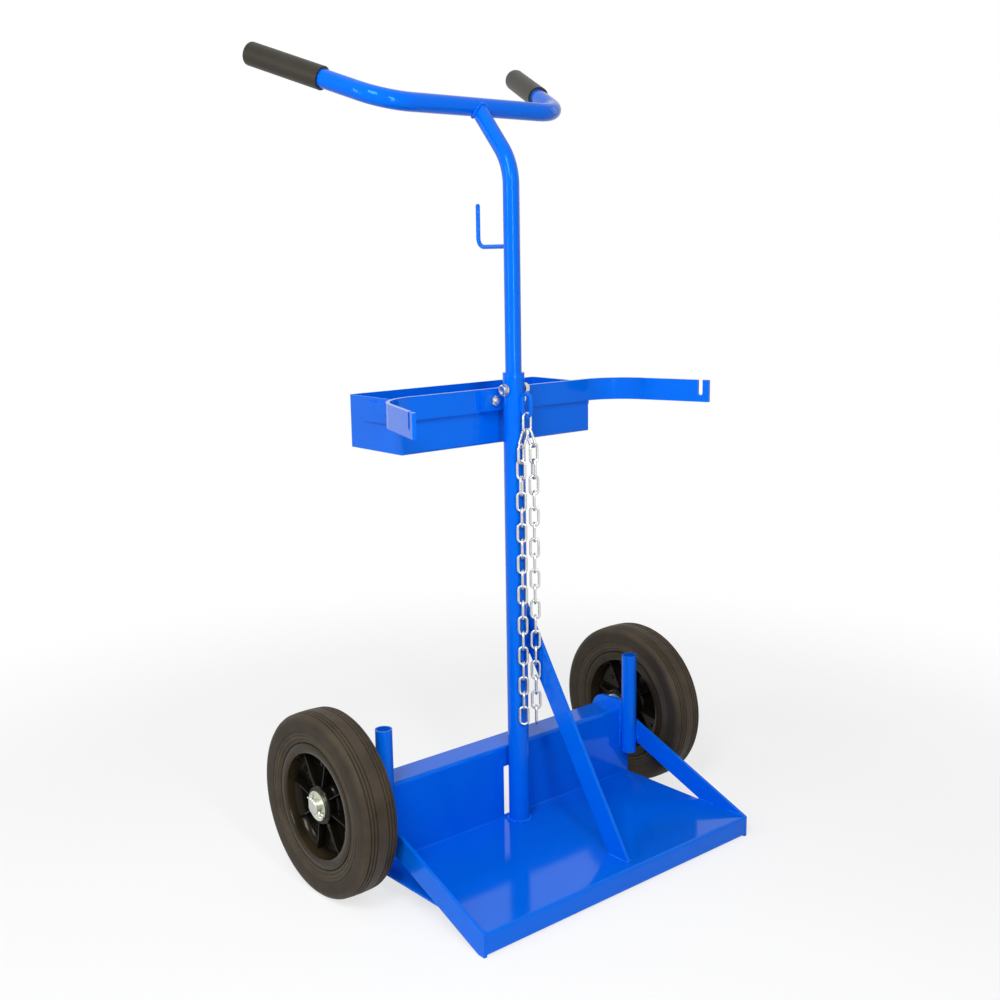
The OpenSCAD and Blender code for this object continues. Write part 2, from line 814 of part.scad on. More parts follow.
module rim_right() {
    h = tyre_w / 2;
    color(black) at_wheel(wheel_x) difference() {
        union() {
            rotate_extrude($fn = 144) polygon([
                [seat_r - 6, -h + 5], [seat_r - 2, -h + 2], [rim_r - 2, -h + 2.5],
                [rim_r - 1.2, -h + 4], [rim_r - 1.2, -h + 6], [seat_r, -h + 7],
                [seat_r, h - 7], [rim_r - 1.2, h - 6], [rim_r - 1.2, h - 4],
                [rim_r - 2, h - 2.5], [seat_r - 2, h - 2], [seat_r - 6, h - 5],
                [seat_r - 7, 2], [seat_r - 7, -2]
            ]);
            translate([0, 0, -2]) cylinder(r = seat_r - 5, h = 4);
            translate([0, 0, -hub_in]) cylinder(d = hub_d, h = hub_in + hub_out);
            for (i = [0:rib_count - 1]) {
                rim_rib(360 / rib_count * (i + 0.25), 1, hub_out - 1.5);
                rim_rib(360 / rib_count * (i + 0.25), -1, -hub_out + 1.5);
            }
        }
        translate([0, 0, -hub_in - 1])
            cylinder(d = bush_d + 2 * fit, h = hub_in + hub_out + 2);
    }
}
module rim_left() { left_side() rim_right(); }

module hub_bush_right() {
    color(zinc) at_wheel(hub_inner_x)
        tube(bush_d, (bush_d - axle_d) / 2 - fit, hub_in + hub_out);
}
module hub_bush_left() { left_side() hub_bush_right(); }

module inner_washer_right() {
    color(zinc) at_wheel(inner_washer_x) washer(washer_d, axle_d + 2 * slip, washer_t);
}
module inner_washer_left() { left_side() inner_washer_right(); }

module outer_washer_right() {
    color(zinc) at_wheel(outer_washer_x) washer(washer_d, axle_d + 2 * slip, washer_t);
}
module outer_washer_left() { left_side() outer_washer_right(); }

pin_tilt = -55;

module split_pin_right() {
    eye_r = 3.6;
    shank = axle_d / 2 + 3;
    color(zinc) translate([split_pin_x, axle_y, axle_z]) rotate([pin_tilt, 0, 0]) {
        translate([0, 0, -shank]) cylinder(d = pin_d, h = 2 * shank);
        translate([0, 0, -shank - eye_r]) rotate([0, 90, 0])
            rotate_extrude() translate([eye_r, 0]) circle(d = pin_d * 0.5);
        for (a = [-35, 50]) translate([0, 0, shank - 1]) rotate([a, 0, 0])
            cylinder(d = pin_d * 0.5, h = 8);
    }
}
module split_pin_left() { left_side() split_pin_right(); }

load_deck();
side_bar_left();
side_bar_right();
post_left();
post_right();
post_cap_left();
post_cap_right();
axle_plate_left();
axle_plate_right();
axle();
axle_spacer_left();
axle_spacer_right();
mast_lower_tube();
centre_brace();
upper_tube();
handlebar();
grip_left();
grip_right();
hose_hook();
clamp_bolt();
clamp_nut();
clamp_washers();
mounting_plate();
retaining_bar();
bar_bolts();
bar_nuts();
bar_washers();
tool_tray();
tray_strap_left();
tray_strap_right();
chain_eye();
chain_middle_link();
chain_left_upper();
chain_left_lower();
chain_right_upper();
chain_right_lower();
tyre_left();
tyre_right();
rim_left();
rim_right();
hub_bush_left();
hub_bush_right();
inner_washer_left();
inner_washer_right();
outer_washer_left();
outer_washer_right();
split_pin_left();
split_pin_right();
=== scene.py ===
"""Looks of a two-cylinder torch cart: enamel, rubber, zinc, welds, fasteners and studio."""
import json
import logging
import math
from dataclasses import dataclass, field
from enum import Enum
from typing import Callable, Sequence

import bmesh
import bpy
from mathutils import Matrix, Vector


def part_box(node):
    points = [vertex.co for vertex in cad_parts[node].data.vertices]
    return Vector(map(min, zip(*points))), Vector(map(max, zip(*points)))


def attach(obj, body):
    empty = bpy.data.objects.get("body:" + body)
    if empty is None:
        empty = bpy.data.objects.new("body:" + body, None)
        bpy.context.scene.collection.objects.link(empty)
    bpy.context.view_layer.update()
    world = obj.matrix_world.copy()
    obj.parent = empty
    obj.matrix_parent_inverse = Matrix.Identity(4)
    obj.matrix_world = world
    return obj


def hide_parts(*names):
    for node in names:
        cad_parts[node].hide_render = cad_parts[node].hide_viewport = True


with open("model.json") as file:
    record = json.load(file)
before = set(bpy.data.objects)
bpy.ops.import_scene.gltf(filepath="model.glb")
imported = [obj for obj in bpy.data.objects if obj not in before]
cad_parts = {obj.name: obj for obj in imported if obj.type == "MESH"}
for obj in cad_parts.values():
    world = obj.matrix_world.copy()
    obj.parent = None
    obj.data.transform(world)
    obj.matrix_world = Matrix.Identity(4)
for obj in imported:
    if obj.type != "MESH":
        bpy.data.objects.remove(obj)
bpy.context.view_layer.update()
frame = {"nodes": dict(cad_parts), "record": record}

LOG = logging.getLogger("cart")
MM = 0.001
WHEEL_R = 0.125
SAME_POINT = 2e-6
FLAT = math.radians(0.4)
CORNER = math.radians(40.0)
RIPPLE_PITCH = 0.40
Point = tuple[float, float, float]
Run = tuple[Sequence[Point], bool]
Outline = Callable[[float, float, float], tuple[float, float]]


class Side(Enum):
    """Side of the cart, with the sign of its X."""

    LEFT = -1
    RIGHT = 1

    @property
    def label(self) -> str:
        """Word used in the names of nodes and bodies.

        Returns:
            The word, in small letters.
        """
        return self.name.lower()


# ---- finishes


def put(
    tree: bpy.types.NodeTree,
    kind: str,
    values: dict[str | int, object] | None = None,
    **settings: object,
) -> bpy.types.Node:
    """Adds a node to a tree and sets it up.

    Args:
        tree: Tree that gets the node.
        kind: Node type.
        values: Values of its free inputs, by name or number.
        **settings: Its own settings, such as the operation.

    Returns:
        The node.
    """
    node = tree.nodes.new(kind)
    for key, value in settings.items():
        setattr(node, key, value)
    for key, value in (values or {}).items():
        node.inputs[key].default_value = value
    return node


@dataclass(frozen=True)
class Grain:
    """Size and strength of one noise pattern, in waves per metre."""

    scale: float
    detail: float
    strength: float


@dataclass(frozen=True)
class Finish:
    """A surface finish with a mottled colour, a mottled gloss and a fine relief."""

    name: str
    colour: Point
    shade: Point
    roughness: float
    rough_swing: float
    metallic: float = 0.0
    ior: float = 1.5
    specular: float = 0.5
    sheen_tint: Point = (1.0, 1.0, 1.0)
    mottle: Grain = Grain(14.0, 3.0, 0.5)
    relief: Grain = Grain(900.0, 2.0, 0.05)
    relief_depth: float = 0.0002
    wear_rings: tuple[tuple[float, float], ...] = ()

    def build(self) -> bpy.types.Material:
        """Builds the node tree of this finish.

        Returns:
            The finished material.
        """
        mat = bpy.data.materials.new(self.name)
        mat.use_nodes = True
        tree = mat.node_tree
        tree.nodes.clear()
        link = tree.links.new
        out = put(tree, "ShaderNodeOutputMaterial")
        bsdf = put(tree, "ShaderNodeBsdfPrincipled", {
            "Metallic": self.metallic,
            "IOR": self.ior,
            "Specular IOR Level": self.specular,
            "Specular Tint": (*self.sheen_tint, 1.0),
        })
        link(bsdf.outputs["BSDF"], out.inputs["Surface"])

        where = put(tree, "ShaderNodeTexCoord")
        mottle = self._noise(tree, where, self.mottle)
        ends = {"A": (*self.colour, 1.0), "B": (*self.shade, 1.0)}
        ramp = put(tree, "ShaderNodeMix", ends, data_type="RGBA")
        tone = self._ring_tone(tree, where, mottle) if self.wear_rings else mottle
        link(tone, ramp.inputs["Factor"])
        link(ramp.outputs["Result"], bsdf.inputs["Base Color"])

        gloss = put(tree, "ShaderNodeMapRange", {
            "To Min": self.roughness - self.rough_swing,
            "To Max": self.roughness + self.rough_swing,
        })
        fine = self._noise(tree, where, Grain(self.mottle.scale * 6.0, 4.0, 1.0))
        link(fine, gloss.inputs["Value"])
        link(gloss.outputs["Result"], bsdf.inputs["Roughness"])

        relief = self._noise(tree, where, self.relief)
        depth = {"Strength": self.relief.strength, "Distance": self.relief_depth}
        bump = put(tree, "ShaderNodeBump", depth)
        link(relief, bump.inputs["Height"])
        link(bump.outputs["Normal"], bsdf.inputs["Normal"])
        return mat

    def _ring_tone(
        self, tree: bpy.types.NodeTree, where: bpy.types.Node, mottle: bpy.types.NodeSocket
    ) -> bpy.types.NodeSocket:
        """Shifts the mottling with the distance from the axle, as dust and wear do.

        Args:
            tree: Node tree that gets the nodes.
            where: Texture Coordinate node.
            mottle: Factor of the plain mottling.

        Returns:
            The shifted factor.
        """
        link = tree.links.new
        low, high = span("axle")
        centre = (0.0, (low.y + high.y) / 2.0, (low.z + high.z) / 2.0)
        flat = put(tree, "ShaderNodeVectorMath", {1: (0.0, 1.0, 1.0)}, operation="MULTIPLY")
        reach = put(tree, "ShaderNodeVectorMath", {1: centre}, operation="DISTANCE")
        scaled = put(tree, "ShaderNodeMapRange", {"From Max": WHEEL_R})
        rings = put(tree, "ShaderNodeValToRGB")
        bands = rings.color_ramp.elements
        while len(bands) < len(self.wear_rings):
            bands.new(0.5)
        for band, (place, level) in zip(bands, self.wear_rings):
            band.position = place
            band.color = (level, level, level, 1.0)
        blend = put(tree, "ShaderNodeMath", operation="MULTIPLY", use_clamp=True)
        twice = put(tree, "ShaderNodeMath", {1: 2.0}, operation="MULTIPLY")
        link(where.outputs["Object"], flat.inputs[0])
        link(flat.outputs["Vector"], reach.inputs[0])
        link(reach.outputs["Value"], scaled.inputs["Value"])
        link(scaled.outputs["Result"], rings.inputs["Fac"])
        link(mottle, twice.inputs[0])
        link(twice.outputs["Value"], blend.inputs[0])
        link(rings.outputs["Color"], blend.inputs[1])
        return blend.outputs["Value"]

    @staticmethod
    def _noise(
        tree: bpy.types.NodeTree, where: bpy.types.Node, grain: Grain
    ) -> bpy.types.NodeSocket:
        """Adds a noise pattern fixed to the object.

        Args:
            tree: Node tree that gets the pattern.
            where: Texture Coordinate node.
            grain: Size and detail of the pattern.

        Returns:
            The pattern's factor socket.
        """
        noise = put(tree, "ShaderNodeTexNoise", {"Scale": grain.scale, "Detail": grain.detail})
        tree.links.new(where.outputs["Object"], noise.inputs["Vector"])
        return noise.outputs["Fac"]


ENAMEL = Finish(
    name="blue_enamel",
    colour=(0.0, 0.140, 0.80),
    shade=(0.0, 0.120, 0.72),
    roughness=0.10,
    rough_swing=0.02,
    ior=1.33,
    sheen_tint=(0.25, 0.75, 1.0),
    relief=Grain(420.0, 2.0, 0.05),
)
ZINC = Finish(
    name="bright_zinc",
    colour=(0.74, 0.74, 0.70),
    shade=(0.50, 0.51, 0.50),
    roughness=0.27,
    rough_swing=0.08,
    metallic=1.0,
    mottle=Grain(160.0, 4.0, 0.5),
    relief=Grain(1800.0, 3.0, 0.12),
)
PASSIVATED = Finish(
    name="passivated_zinc",
    colour=(0.66, 0.69, 0.54),
    shade=(0.56, 0.61, 0.47),
    roughness=0.34,
    rough_swing=0.07,
    metallic=1.0,
    mottle=Grain(90.0, 4.0, 0.5),
    relief=Grain(1500.0, 3.0, 0.12),
)
AXLE_STEEL = Finish(
    name="axle_steel",
    colour=(0.60, 0.60, 0.57),
    shade=(0.48, 0.48, 0.46),
    roughness=0.34,
    rough_swing=0.07,
    metallic=1.0,
    mottle=Grain(120.0, 4.0, 0.5),
    relief=Grain(1500.0, 3.0, 0.15),
)
TYRE_RUBBER = Finish(
    name="tyre_rubber",
    colour=(0.011, 0.009, 0.006),
    shade=(0.058, 0.045, 0.031),
    wear_rings=(
        (0.68, 0.75), (0.76, 0.90), (0.82, 0.42), (0.91, 0.36), (0.955, 0.75), (1.0, 0.85),
    ),
    roughness=0.60,
    rough_swing=0.10,
    specular=0.22,
    sheen_tint=(1.0, 0.88, 0.72),
    mottle=Grain(22.0, 5.0, 0.5),
    relief=Grain(1400.0, 4.0, 0.30),
)
RIM_PLASTIC = Finish(
    name="rim_plastic",
    colour=(0.0035, 0.0032, 0.0027),
    shade=(0.029, 0.021, 0.011),
    wear_rings=((0.0, 0.04), (0.54, 0.10), (0.575, 1.0), (0.68, 1.2)),
    roughness=0.17,
    rough_swing=0.05,
    specular=0.16,
    sheen_tint=(1.0, 0.90, 0.76),
    mottle=Grain(30.0, 4.0, 0.5),
    relief=Grain(1100.0, 3.0, 0.12),
)
# Dark, dull blue on the post caps is painted shade: it stands in for the shaded inside of the
# open post tubes.
PLUG_PAINTED_SHADE = Finish(
    name="post_plug_blue",
    colour=(0.0, 0.085, 0.52),
    shade=(0.0, 0.060, 0.40),
    roughness=0.75,
    rough_swing=0.06,
    specular=0.02,
    sheen_tint=(0.05, 0.5, 1.0),
)
GRIP_RUBBER = Finish(
    name="grip_rubber",
    colour=(0.017, 0.015, 0.011),
    shade=(0.030, 0.027, 0.021),
    roughness=0.42,
    rough_swing=0.08,
    specular=0.26,
    sheen_tint=(1.0, 0.92, 0.82),
    mottle=Grain(40.0, 4.0, 0.5),
    relief=Grain(1600.0, 4.0, 0.30),
)


# ---- mesh helpers


def add_piece(name: str, mesh: bpy.types.Mesh) -> bpy.types.Object:
    """Puts a mesh into the scene.

    Args:
        name: Name of the piece.
        mesh: Its mesh, in the cart's own frame.

    Returns:
        The new object, at the origin.
    """
    obj = bpy.data.objects.new(name, mesh)
    bpy.context.scene.collection.objects.link(obj)
    return obj


def dress(
    obj: bpy.types.Object, mat: bpy.types.Material, body: str
) -> bpy.types.Object:
    """Gives a piece its finish and its body.

    Args:
        obj: The piece.
        mat: Its material.
        body: Body that it rides on.

    Returns:
        The same piece.
    """
    obj.data.materials.clear()
    obj.data.materials.append(mat)
    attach(obj, body)
    LOG.info("%s: %d faces on %s", obj.name, len(obj.data.polygons), body)
    return obj


def evaluated_mesh(obj: bpy.types.Object) -> bpy.types.Mesh:
    """Reads what an object's modifiers make of it.

    Args:
        obj: The object, which stays as it is.

    Returns:
        The result as a new plain mesh.
    """
    graph = bpy.context.evaluated_depsgraph_get()
    graph.update()
    return bpy.data.meshes.new_from_object(obj.evaluated_get(graph), depsgraph=graph)


def frozen(obj: bpy.types.Object) -> bpy.types.Object:
    """Turns a piece with live modifiers into a plain mesh.

    Args:
        obj: The piece.

    Returns:
        The same object with its result as its mesh.
    """
    mesh = evaluated_mesh(obj)
    obj.modifiers.clear()
    obj.data = mesh
    return obj


def smooth(mesh: bpy.types.Mesh, angle: float = 35.0) -> None:
    """Shades a mesh smooth, with edges sharper than an angle kept.

    Args:
        mesh: The mesh.
        angle: Limit in degrees.
    """
    mesh.shade_smooth()
    mesh.set_sharp_from_angle(angle=math.radians(angle))


def lathe(
    name: str,
    rings: Sequence[tuple[float, float]],
    place: Matrix,
    steps: int = 96,
    outline: Outline | None = None,
) -> bpy.types.Mesh:
    """Turns a closed section about +Z and places the result.

    Args:
        name: Name of the mesh.
        rings: Radius and height of each corner of the section, in order.
        place: Where the turned shape goes.
        steps: Number of facets round the axis.
        outline: Optional change of radius and height with the angle.

    Returns:
        The finished mesh.
    """
    bm = bmesh.new()
    grid = []
    for k in range(steps):
        a = 2.0 * math.pi * k / steps
        column = []
        for r, z in rings:
            rr, zz = outline(a, r, z) if outline else (r, z)
            column.append(bm.verts.new((rr * math.cos(a), rr * math.sin(a), zz)))
        grid.append(column)
    count = len(rings)
    for k in range(steps):
        here, there = grid[k], grid[(k + 1) % steps]
        for j in range(count):
            bm.faces.new((here[j], there[j], there[(j + 1) % count], here[(j + 1) % count]))
    bmesh.ops.remove_doubles(bm, verts=bm.verts, dist=1e-7)
    bmesh.ops.recalc_face_normals(bm, faces=bm.faces)
    bm.transform(place)
    mesh = bpy.data.meshes.new(name)
    bm.to_mesh(mesh)
    bm.free()
    smooth(mesh)
    return mesh


def along(start: Point, axis: Point) -> Matrix:
    """Placement that carries +Z on to an axis.

    Args:
        start: Where the origin goes.
        axis: Direction that +Z takes.

    Returns:
        The placement.
    """
    turn = Vector(axis).to_track_quat("Z", "Y").to_matrix().to_4x4()
    return Matrix.Translation(start) @ turn


def join(name: str, meshes: Sequence[bpy.types.Mesh]) -> bpy.types.Mesh:
    """Joins meshes into one.

    Args:
        name: Name of the joined mesh.
        meshes: What goes into it.

    Returns:
        The joined mesh.
    """
    bm = bmesh.new()
    for mesh in meshes:
        bm.from_mesh(mesh)
    joined = bpy.data.meshes.new(name)
    bm.to_mesh(joined)
    bm.free()
    smooth(joined)
    return joined


# ---- geometry nodes


@dataclass
class NodeRecipe:
    """A Geometry Nodes tree under construction, with named inputs."""

    name: str
    inputs: dict[str, str]
    tree: bpy.types.NodeTree = field(init=False)
    inside: bpy.types.Node = field(init=False)
    outside: bpy.types.Node = field(init=False)

    def __post_init__(self) -> None:
        """Starts the tree with its inputs and its output."""
        self.tree = bpy.data.node_groups.new(self.name, "GeometryNodeTree")
        face = self.tree.interface
        face.new_socket("Geometry", in_out="INPUT", socket_type="NodeSocketGeometry")
        face.new_socket("Geometry", in_out="OUTPUT", socket_type="NodeSocketGeometry")
        self.inside = self.tree.nodes.new("NodeGroupInput")
        self.outside = self.tree.nodes.new("NodeGroupOutput")
        for name, kind in {**self.inputs, "Finish": "NodeSocketMaterial"}.items():
            face.new_socket(name, in_out="INPUT", socket_type=kind)

    def finish_with(self, geometry: bpy.types.NodeSocket) -> None:
        """Ends the tree in Realize Instances and Set Material.

        Args:
            geometry: What the tree has made.
        """
        link = self.tree.links.new
        real = put(self.tree, "GeometryNodeRealizeInstances")
        paint = put(self.tree, "GeometryNodeSetMaterial")
        link(geometry, real.inputs["Geometry"])
        link(real.outputs["Geometry"], paint.inputs["Geometry"])
        link(self.inside.outputs["Finish"], paint.inputs["Material"])
        link(paint.outputs["Geometry"], self.outside.inputs["Geometry"])

    def run(self, obj: bpy.types.Object, **values: object) -> bpy.types.Object:
        """Runs the tree on an object and keeps the result as its plain mesh.

        Args:
            obj: Object whose geometry goes in.
            **values: Values of the tree's own inputs.

        Returns:
            An object with the resulting mesh.
        """
        mod = obj.modifiers.new(self.name, "NODES")
        mod.node_group = self.tree
        for item in self.tree.interface.items_tree:
            if item.in_out == "INPUT" and item.name.replace(" ", "_") in values:
                mod[item.identifier] = values[item.name.replace(" ", "_")]
        mesh = evaluated_mesh(obj)
        name = obj.name
        old = obj.data
        bpy.data.objects.remove(obj)
        if isinstance(old, bpy.types.Curve):
            bpy.data.curves.remove(old)
        return add_piece(name, mesh)


def weld_recipe() -> NodeRecipe:
    """Builds the tree that lays overlapping weld ripples along curves.

    Returns:
        The recipe, with inputs for the ripple's size and pitch.
    """
    recipe = NodeRecipe("weld_ripples", {"Size": "NodeSocketFloat", "Pitch": "NodeSocketFloat"})
    tree, given = recipe.tree, recipe.inside.outputs
    link = tree.links.new
    pace = put(tree, "GeometryNodeResampleCurve", mode="LENGTH")
    link(given["Geometry"], pace.inputs["Curve"])
    link(given["Pitch"], pace.inputs["Length"])
    tangent = put(tree, "GeometryNodeInputTangent")
    aim = put(tree, "FunctionNodeAlignRotationToVector", axis="Z")
    link(tangent.outputs["Tangent"], aim.inputs["Vector"])
    blob = put(tree, "GeometryNodeMeshIcoSphere", {"Radius": 0.5, "Subdivisions": 3})
    flat = put(tree, "GeometryNodeTransform", {"Scale": (1.0, 1.0, 0.62)})
    link(blob.outputs["Mesh"], flat.inputs["Geometry"])
    limits = {"Seed": 7, 2: 0.88, 3: 1.10}
    wobble = put(tree, "FunctionNodeRandomValue", limits, data_type="FLOAT")
    size = put(tree, "ShaderNodeMath", operation="MULTIPLY")
    link(wobble.outputs[1], size.inputs[0])
    link(given["Size"], size.inputs[1])
    place = put(tree, "GeometryNodeInstanceOnPoints")
    link(pace.outputs["Curve"], place.inputs["Points"])
    link(flat.outputs["Geometry"], place.inputs["Instance"])
    link(aim.outputs["Rotation"], place.inputs["Rotation"])
    link(size.outputs["Value"], place.inputs["Scale"])
    recipe.finish_with(place.outputs["Instances"])
    return recipe


def ring_recipe() -> NodeRecipe:
    """Builds the tree that repeats a mesh round the X axis.

    Returns:
        The recipe, with inputs for the centre, the count and the first angle.
    """
    inputs = {"Centre": "NodeSocketVector", "Count": "NodeSocketInt", "Start": "NodeSocketFloat"}
    recipe = NodeRecipe("round_the_axle", inputs)
    tree, given = recipe.tree, recipe.inside.outputs
    link = tree.links.new
    spots = put(tree, "GeometryNodePoints")
    link(given["Count"], spots.inputs["Count"])
    link(given["Centre"], spots.inputs["Position"])
    index = put(tree, "GeometryNodeInputIndex")
    turn = put(tree, "ShaderNodeMath", operation="DIVIDE")
    link(index.outputs["Index"], turn.inputs[0])
    link(given["Count"], turn.inputs[1])
    angle = put(tree, "ShaderNodeMath", {1: 2.0 * math.pi}, operation="MULTIPLY_ADD")
    link(turn.outputs["Value"], angle.inputs[0])
    link(given["Start"], angle.inputs[2])
    about = put(tree, "ShaderNodeCombineXYZ")
    link(angle.outputs["Value"], about.inputs["X"])
    place = put(tree, "GeometryNodeInstanceOnPoints")
    link(spots.outputs["Points"], place.inputs["Points"])
    link(given["Geometry"], place.inputs["Instance"])
    link(about.outputs["Vector"], place.inputs["Rotation"])
    recipe.finish_with(place.outputs["Instances"])
    return recipe


# ---- shared shop


@dataclass
class Shop:
    """Finished materials and node recipes that the sub-assemblies share."""

    enamel: bpy.types.Material = field(default_factory=ENAMEL.build)
    zinc: bpy.types.Material = field(default_factory=ZINC.build)
    passivated: bpy.types.Material = field(default_factory=PASSIVATED.build)
    axle_steel: bpy.types.Material = field(default_factory=AXLE_STEEL.build)
    tyre_rubber: bpy.types.Material = field(default_factory=TYRE_RUBBER.build)
    rim_plastic: bpy.types.Material = field(default_factory=RIM_PLASTIC.build)
    grip_rubber: bpy.types.Material = field(default_factory=GRIP_RUBBER.build)
    # Post-cap finish: its dark blue is painted shade for the inside of the open tubes.
    plug_blue: bpy.types.Material = field(default_factory=PLUG_PAINTED_SHADE.build)
    welds: NodeRecipe = field(default_factory=weld_recipe)
    rings: NodeRecipe = field(default_factory=ring_recipe)

    def paint(self, node: str, mat: bpy.types.Material) -> None:
        """Puts a material on a CAD node as it stands.

        Args:
            node: Name of the node.
            mat: Its new material.
        """
        obj = frame["nodes"][node]
        obj.data.materials.clear()
        obj.data.materials.append(mat)
        LOG.info("%s: CAD solid in %s", node, mat.name)

    def ease_edges(self, node: str, mat: bpy.types.Material, width: float, slot: str) -> None:
        """Stands a copy with rolled edges in for a sharp sheet or bar.

        Args:
            node: Name of the CAD node.
            mat: Material of the copy.
            width: Width of the rolled edge in metres.
            slot: The record's material slot; not used.
        """
        source = frame["nodes"][node]
        bm = bmesh.new()
        bm.from_mesh(source.data)
        bmesh.ops.remove_doubles(bm, verts=bm.verts, dist=SAME_POINT)
        bmesh.ops.dissolve_limit(bm, angle_limit=FLAT, verts=bm.verts, edges=bm.edges)
        mesh = bpy.data.meshes.new(node + "_eased")
        bm.to_mesh(mesh)
        bm.free()
        mesh.shade_smooth()
        obj = add_piece(node + "_eased", mesh)
        roll = obj.modifiers.new("roll", "BEVEL")
        roll.width = width
        roll.segments = 2
        roll.limit_method = "ANGLE"
        roll.angle_limit = CORNER
        roll.use_clamp_overlap = True
        level = obj.modifiers.new("level", "WEIGHTED_NORMAL")
        level.mode = "FACE_AREA"
        level.weight = 90
        frozen(obj)
        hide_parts(node)
        dress(obj, mat, node_body(node))

    def weld(
        self,
        name: str,
        runs: Sequence[Run],
        size: float = 4.2 * MM,
        body: str = "frame",
    ) -> None:
        """Lays painted weld beads.

        Args:
            name: Name of the piece.
            runs: Points of each bead, and whether it closes on itself.
            size: Width of a bead in metres.
            body: Body that the beads ride on.
        """
        curve = bpy.data.curves.new(name, "CURVE")
        curve.dimensions = "3D"
        for points, closed in runs:
            spline = curve.splines.new("POLY")
            spline.points.add(len(points) - 1)
            for point, target in zip(points, spline.points):
                target.co = (*point, 1.0)
            spline.use_cyclic_u = closed
        obj = bpy.data.objects.new(name, curve)
        bpy.context.scene.collection.objects.link(obj)
        made = self.welds.run(obj, Size=size, Pitch=size * RIPPLE_PITCH, Finish=self.enamel)
        smooth(made.data, 60.0)
        dress(made, self.enamel, body)


def node_body(node: str) -> str:
    """Finds the body that holds a CAD node.

    Args:
        node: Name of the node.

    Returns:
        The body's name.
    """
    bodies = frame["record"]["behaviour"]["bodies"]
    return next(body for body, nodes in bodies.items() if node in nodes)


def span(node: str) -> tuple[Vector, Vector]:
    """Reads the box round a CAD node.

    Args:
        node: Name of the node.

    Returns:
        Its lowest and its highest corner.
    """
    low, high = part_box(node)
    return Vector(low), Vector(high)


def line(start: Point, end: Point, steps: int = 8) -> Run:
    """An open run of a bead between two points.

    Args:
        start: First point.
        end: Last point.
        steps: Number of equal parts.

    Returns:
        Its points, and that it doesn't close.
    """
    a, b = Vector(start), Vector(end)
    return [tuple(a.lerp(b, k / steps)) for k in range(steps + 1)], False


def upright(x: float, y: float, low: float, high: float, steps: int = 8) -> Run:
    """An open run of a bead up a vertical edge.

    Args:
        x: Where the edge stands across the cart.
        y: Where it stands along the cart.
        low: Height of its first end.
        high: Height of its last end.
        steps: Number of pieces.

    Returns:
        Its points, and that it doesn't close.
    """
    return line((x, y, low), (x, y, high), steps)


def circle(centre: Point, radius: float, axis: Point, steps: int = 40) -> Run:
    """A run of a bead round a circle.

    Args:
        centre: Its middle.
        radius: Its radius.
        axis: Its normal.
        steps: Number of points.

    Returns:
        Its points, and that it closes.
    """
    place = along(centre, axis)
    turn = 2.0 * math.pi / steps
    return [
        tuple(place @ Vector((radius * math.cos(turn * k), radius * math.sin(turn * k), 0.0)))
        for k in range(steps)
    ], True


# ---- fasteners


@dataclass(frozen=True)
class HexSize:
    """Sizes of a bolt size's hexagon and thread."""

    across_flats: float = 13.0 * MM
    thread: float = 8.0 * MM
    pitch: float = 1.25 * MM
    facets: int = 72
    shank_facets: int = 40
    land: float = 0.96
    chamfer: float = 28.0

    def outline(self, top: float, bottom: float) -> Outline:
        """Rule for a hexagon whose corners are chamfered at both ends.

        Args:
            top: Height of the upper face.
            bottom: Height of the lower face.

        Returns:
            A function of angle, radius and height for lathe().
        """
        flat = self.across_flats / 2.0

        def rule(a: float, r: float, z: float) -> tuple[float, float]:
            """Takes a ring at the corner radius in to the hexagon.

            Args:
                a: Angle of the point.
                r: Its radius.
                z: Its height.

            Returns:
                The new radius and height.
            """
            if r < flat * 0.99:
                return r, z
            third = math.pi / 3.0
            out = flat / math.cos((a + third / 2.0) % third - third / 2.0)
            drop = max(0.0, out - flat * 0.97) * math.tan(math.radians(self.chamfer))
            if z > (top + bottom) / 2.0:
                return out, z - drop
            return out, z + drop

        return rule

    def nut(self, name: str, place: Matrix, height: float) -> bpy.types.Mesh:
        """Builds a nut with a countersunk bore, seated on z = 0.

        Args:
            name: Name of the mesh.
            place: Where z = 0 goes.
            height: Height of the hexagon.

        Returns:
            The mesh.
        """
        bore = self.thread / 2.0 + 0.05 * MM
        flat = self.across_flats / 2.0
        sink = 0.6 * MM
        rings = [
            (bore, sink), (bore + sink, 0.0), (flat * self.land, 0.0), (flat, 0.0),
            (flat, height), (flat * self.land, height), (bore + sink, height),
            (bore, height - sink),
        ]
        return lathe(name, rings, place, self.facets, self.outline(height, 0.0))

    def head(self, name: str, place: Matrix, height: float) -> bpy.types.Mesh:
        """Builds a bolt head seated on z = 0, with a shallow dish on top.

        Args:
            name: Name of the mesh.
            place: Where z = 0 goes.
            height: Height of the hexagon.

        Returns:
            The mesh.
        """
        flat = self.across_flats / 2.0
        rings = [
            (0.0, 0.0), (flat * self.land, 0.0), (flat, 0.0), (flat, height),
            (flat * self.land, height), (flat * 0.72, height),
            (flat * 0.64, height - 0.35 * MM), (0.0, height - 0.35 * MM),
        ]
        return lathe(name, rings, place, self.facets, self.outline(height, 0.0))

    def shank(self, name: str, place: Matrix, plain: float, length: float) -> bpy.types.Mesh:
        """Builds a shank whose last part is threaded.

        Args:
            name: Name of the mesh.
            place: Where z = 0, under the head, goes.
            plain: Length without thread.
            length: Whole length.

        Returns:
            The mesh.
        """
        crest = self.thread / 2.0
        root = crest - 0.55 * self.pitch
        rings = [(0.0, 0.0), (crest, 0.0), (crest, plain)]
        z = plain
        while z + self.pitch < length - 0.4 * MM:
            rings.append((root, z + 0.40 * self.pitch))
            rings.append((root, z + 0.52 * self.pitch))
            rings.append((crest, z + 0.90 * self.pitch))
            z += self.pitch
        rings += [(crest, z), (root, length), (0.0, length)]
        return lathe(name, rings, place, self.shank_facets)


